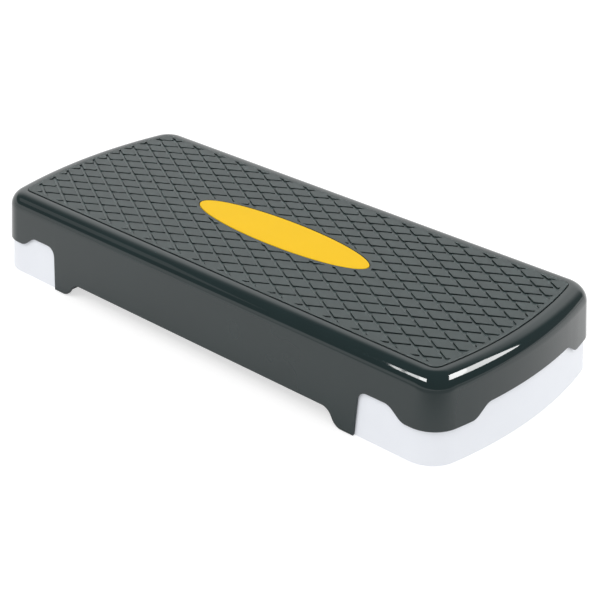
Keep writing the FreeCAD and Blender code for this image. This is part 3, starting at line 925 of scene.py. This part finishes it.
def make_surroundings(scene, stage):
    """White room to the camera, and even light for matt surfaces. Gloss shows a white backdrop behind the
    step, the floor's white sweep, and a dark studio elsewhere."""
    world = bpy.data.worlds.new("studio")
    scene.world = world
    world.use_nodes = True
    tree = world.node_tree
    tree.nodes.clear()
    rays = add_node(tree, "ShaderNodeLightPath").outputs
    direction = add_node(tree, "ShaderNodeTexCoord").outputs["Generated"]
    along, across, height = add_node(tree, "ShaderNodeSeparateXYZ", {0: direction}).outputs
    rise = add_node(tree, "ShaderNodeMath", {0: along, 1: SWEEP_LEAN, 2: height}, operation="MULTIPLY_ADD")
    room = stage.backdrop
    for part, (dark, bright), level in ((along, BACKDROP_ALONG, stage.studio),
                                        (across, BACKDROP_ACROSS, stage.studio),
                                        (height, BACKDROP_HEIGHT, stage.studio),
                                        (rise.outputs[0], SWEEP_HEIGHT, stage.sweep)):
        fade = add_node(tree, "ShaderNodeMapRange",
                        {"Value": part, "From Min": dark, "From Max": bright,
                         "To Min": level, "To Max": room},
                        interpolation_type="SMOOTHSTEP")
        room = fade.outputs[0]
    lit = add_node(tree, "ShaderNodeMix", {0: rays["Is Glossy Ray"], 2: stage.ambient, 3: room})
    seen = add_node(tree, "ShaderNodeMath", {0: rays["Is Camera Ray"], 1: rays["Is Transmission Ray"]},
                    operation="ADD", use_clamp=True)
    final = add_node(tree, "ShaderNodeMix", {0: seen.outputs[0], 2: lit.outputs[0], 3: 1.0})
    background = add_node(tree, "ShaderNodeBackground", {"Color": (1, 1, 1, 1), "Strength": final.outputs[0]})
    add_node(tree, "ShaderNodeOutputWorld", {"Surface": background.outputs[0]})


def make_lamps(stage):
    """Overhead soft boxes: panels that show only in reflections, and lamps that light only matt surfaces."""
    # Brightness of each panel, and its corners in metres as seen from above
    panels = {
        "front_strip_end": (stage.glare, [(-0.95, -1.57), (-0.92, -1.57), (-0.705, -0.97), (-0.77, -1.05)]),
        "front_strip": (stage.glare,
                        [(-0.905, -1.55), (-0.5, -1.57), (-0.5, -0.9), (-0.6, -0.9), (-0.683, -0.95)]),
        "front_strip_core": (stage.core, [(-0.5, -1.57), (0.38, -1.6), (0.2, -0.92), (-0.5, -0.9)]),
        "back_box_core": (stage.core, [(0.86, 0.6), (1.75, 0.3), (1.83, 1.02), (0.83, 0.92)]),
        "back_box": (stage.glare, [(0.83, 0.92), (1.83, 1.02), (1.76, 1.94), (1.55, 1.82), (0.83, 1.12)]),
        "side_card": (stage.card, [(-2.45, -1.5), (-1.35, -1.5), (-1.35, -0.65), (-2.45, -0.65)]),
    }
    for name, (radiance, corners) in panels.items():
        material, tree, surface, _ = new_material(name)
        glow = add_node(tree, "ShaderNodeEmission", {"Strength": radiance})
        tree.links.new(glow.outputs[0], surface)
        material.cycles.emission_sampling = "NONE"
        panel = make_sheet(name, corners, stage.lamp_height, material)
        panel.visible_camera = False
        panel.visible_diffuse = False
        panel.visible_shadow = False
    # Brightness of each lamp, and its middle and its size in metres as seen from above
    lamps = {"front_lamp": (stage.front_light, (-0.19, -1.14), (0.98, 0.62)),
             "back_lamp": (stage.back_light, (1.17, 0.86), (0.85, 1.72))}
    for name, (radiance, middle, spread) in lamps.items():
        light = bpy.data.lights.new(name, "AREA")
        light.shape = "RECTANGLE"
        light.size, light.size_y = spread
        light.energy = radiance * math.pi * light.size * light.size_y
        lamp = bpy.data.objects.new(name, light)
        lamp.location = (*middle, stage.lamp_height)
        lamp.visible_glossy = False
        bpy.context.scene.collection.objects.link(lamp)


def make_camera(scene, stage):
    """Camera at the photograph's viewing angle."""
    camera = bpy.data.cameras.new("camera")
    camera.lens = stage.lens
    viewer = bpy.data.objects.new("camera", camera)
    scene.collection.objects.link(viewer)
    turned = Matrix.Rotation(stage.yaw, 4, "Z") @ Matrix.Rotation(math.pi / 2 - stage.pitch, 4, "X")
    viewer.matrix_world = Matrix.Translation(stage.camera) @ turned @ Matrix.Rotation(stage.roll, 4, "Z")
    scene.camera = viewer


# Operators

class StepOperator(bpy.types.Operator):
    """Shared options of the step's operators."""
    bl_options = {"REGISTER", "UNDO"}


class STEP_OT_deck(StepOperator):
    """Models the deck moulding with its ribs, soles and guide posts"""
    bl_idname = "step.deck"
    bl_label = "Deck moulding"

    def execute(self, context):
        settings = context.scene.step
        plastic = polished_polypropylene(settings.finish)
        for name, build in (("deck_moulding", deck_moulding), ("deck_ribs", deck_ribs),
                            ("guide_posts", guide_posts)):
            make_piece(name, build(settings), [plastic], ["platform_body"])
        return {"FINISHED"}


class STEP_OT_tread(StepOperator):
    """Models the rubber mat"""
    bl_idname = "step.tread"
    bl_label = "Tread mat"

    def execute(self, context):
        settings = context.scene.step
        finish = settings.finish
        # Name, colour, roughness and specular level of the rubber in each slot
        looks = {PAD_SLOT: ("pads", finish.rubber, 0.42, 0.34),
                 CHANNEL_SLOT: ("channels", finish.channel, 0.3, 0.34),
                 # The sides' darker colour is painted shade on the upright faces
                 SHADED_SIDE_SLOT: ("sides", finish.side, 0.5, 0.2)}
        rubbers = []
        for slot in sorted(looks):
            name, base, roughness, specular = looks[slot]
            rubbers.append(moulded_rubber(f"moulded_rubber_{name}", base, MAT_GRAIN, roughness, specular))
        make_piece("ribbed_tread", tread_mat(settings), rubbers, ["tread_mat"])
        return {"FINISHED"}


class STEP_OT_badge(StepOperator):
    """Models the bare oval badge"""
    bl_idname = "step.badge"
    bl_label = "Badge"

    def execute(self, context):
        settings = context.scene.step
        plastic = moulded_plastic("yellow_abs", settings.finish.yellow, roughness=0.5, grain=2, relief=0.02,
                                  specular=0.15)
        make_piece("oval_badge", badge(settings), [plastic], ["badge"])
        return {"FINISHED"}


class STEP_OT_hardware(StepOperator):
    """Finishes the legs, bolts, pads and screws that keep their CAD shape"""
    bl_idname = "step.hardware"
    bl_label = "Legs and hardware"

    def execute(self, context):
        finish = context.scene.step.finish
        white = moulded_plastic("white_polypropylene", finish.white, roughness=0.32, grain=1.5, relief=0.03)
        nylon = moulded_plastic("black_nylon", finish.nylon, roughness=0.45, grain=1, relief=0.05)
        foot = moulded_rubber("foot_rubber", finish.foot, grain=0.8, roughness=0.7)
        zinc = zinc_plated_steel(finish)
        # Finishes by the ending of a node's name
        finishes = {"leg_pads": foot, "foot_pads": foot, "stop_washers": zinc, "stop_screws": zinc,
                    "keeper_screws": zinc, "bolt": nylon, "keeper": nylon, "leg": white}
        for name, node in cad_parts.items():
            if node.hide_render:
                continue
            ending = next(ending for ending in finishes if name.endswith(ending))
            for slot in node.material_slots:
                slot.material = finishes[ending]
        return {"FINISHED"}


class STEP_OT_stage(StepOperator):
    """Adds the floor, the surroundings, the lamps and the camera"""
    bl_idname = "step.stage"
    bl_label = "Stage"

    def execute(self, context):
        stage = context.scene.step.stage
        context.scene.view_settings.view_transform = "Standard"
        make_floor(stage)
        make_surroundings(context.scene, stage)
        make_lamps(stage)
        make_camera(context.scene, stage)
        return {"FINISHED"}


# Panel and registration

class STEP_PT_panel(bpy.types.Panel):
    """Operators of the step"""
    bl_idname = "STEP_PT_panel"
    bl_label = "Aerobic step"
    bl_space_type = "VIEW_3D"
    bl_region_type = "UI"
    bl_category = "Step"

    def draw(self, context):
        for operator in operators:
            self.layout.operator(operator.bl_idname)


operators = (STEP_OT_deck, STEP_OT_tread, STEP_OT_badge, STEP_OT_hardware, STEP_OT_stage)
groups = (DeckSizes, LowerEdgeSizes, UndersideSizes, TreadSizes, BadgeSizes, Finishes, StageSettings,
          StepSettings)
classes = (*groups, *operators, STEP_PT_panel)


def register():
    """Registers the classes, and gives each scene its settings."""
    for kind in classes:
        bpy.utils.register_class(kind)
    bpy.types.Scene.step = PointerProperty(type=StepSettings)


def unregister():
    """Takes back what register did."""
    del bpy.types.Scene.step
    for kind in reversed(classes):
        bpy.utils.unregister_class(kind)


def main():
    """Makes the step and its stage."""
    register()
    bpy.ops.step.deck()
    bpy.ops.step.tread()
    bpy.ops.step.badge()
    bpy.ops.step.hardware()
    bpy.ops.step.stage()


if __name__ == "__main__":
    main()
